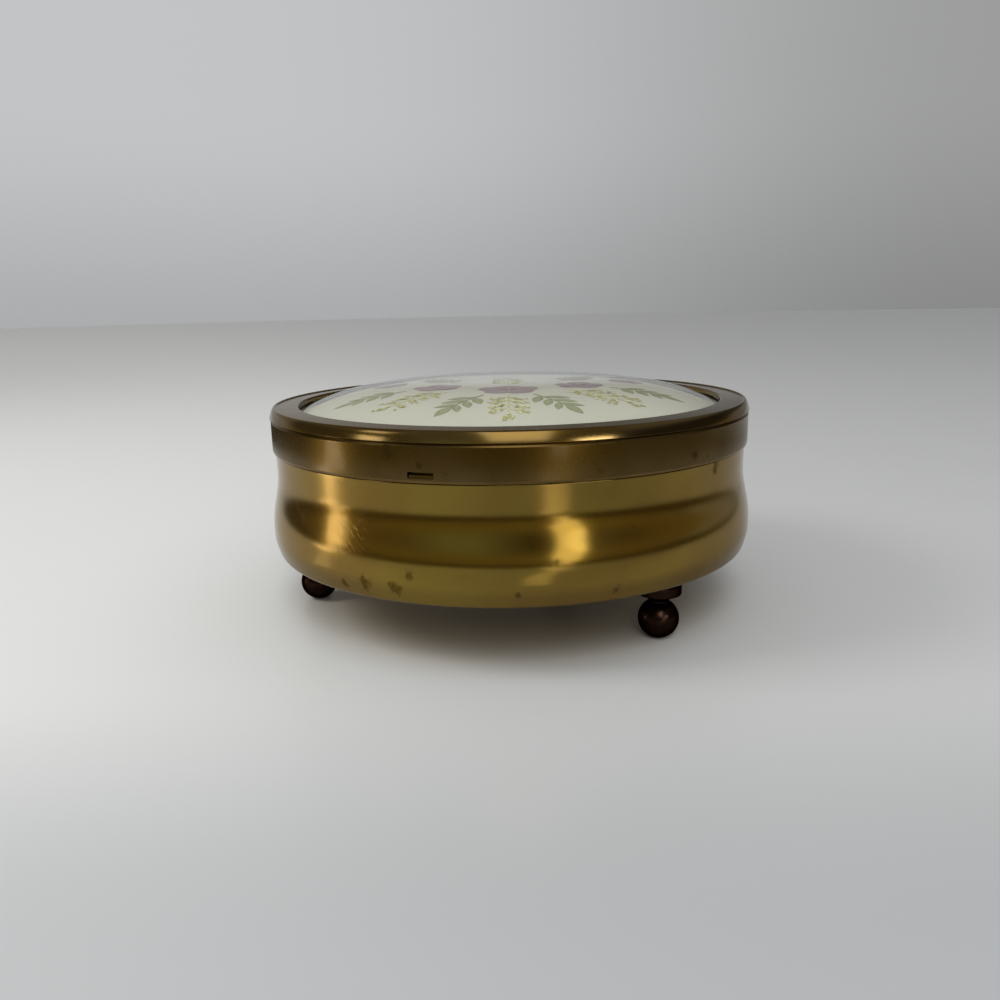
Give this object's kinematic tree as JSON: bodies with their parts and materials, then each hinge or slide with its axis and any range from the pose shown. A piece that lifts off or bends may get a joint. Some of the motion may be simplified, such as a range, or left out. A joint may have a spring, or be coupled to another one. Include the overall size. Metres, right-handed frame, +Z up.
{
  "type": "trinket box",
  "caption": "Round brass trinket box on ball feet, with a lift-off lid that frames pressed flowers under a clear domed cover.",
  "frame": {"origin": "on the table, under the middle of the box, in the plane the feet stand on", "axes": "+Z up along the box's axis, which is also the way the lid lifts; the front is -Y and +X is to the right"},
  "size_m": [0.1018, 0.1018, 0.0464],
  "materials": {
    "aged_brass": "aged satin brass, darkened, with fine scratches",
    "dark_patina": "cast metal with a dark brown patina, semi-gloss",
    "screw_steel": "plain turned steel",
    "tinned_plate": "dull tinned sheet",
    "clear_cover": "clear and glossy, pressed to a shallow dome",
    "celadon_silk": "fine plain-weave silk, stretched",
    "cotton_wadding": "loose white fibre",
    "wine_velvet": "short-pile velvet",
    "grey_card": "pressed grey card, matt, a wood-pulp board",
    "pressed_petals": "dried petal, matt, mauve",
    "pressed_leaves": "dried leaf, matt, grey-green",
    "pressed_florets": "dried florets, matt, yellow-green"
  },
  "bodies": {
    "box": {"bowl_shell": "aged_brass", "foot_front_right": "dark_patina", "foot_rear": "dark_patina", "foot_left": "dark_patina", "foot_screw_front_right": "screw_steel", "foot_screw_rear": "screw_steel", "foot_screw_left": "screw_steel", "base_board": "grey_card", "base_velvet": "wine_velvet"},
    "lid": {"lid_shell": "aged_brass", "clear_cover": "clear_cover", "silk_ground": "celadon_silk", "wadding_pad": "cotton_wadding", "lock_plate": "tinned_plate", "lid_lining": "wine_velvet", "blossom_1": "pressed_petals", "blossom_2": "pressed_petals", "blossom_3": "pressed_petals", "blossom_4": "pressed_petals", "blossom_5": "pressed_petals", "leaf_sprig_1": "pressed_leaves", "leaf_sprig_2": "pressed_leaves", "leaf_sprig_3": "pressed_leaves", "leaf_sprig_4": "pressed_leaves", "leaf_sprig_5": "pressed_leaves", "leaf_sprig_6": "pressed_leaves", "floret_spray_1": "pressed_florets", "floret_spray_2": "pressed_florets", "floret_spray_3": "pressed_florets", "floret_spray_4": "pressed_florets"}
  },
  "joints": [
    {"name": "lid_lift", "type": "slide", "parent": "box", "child": "lid", "axis": [0, 0, 1], "range_m": [0, 0.04]}
  ]
}
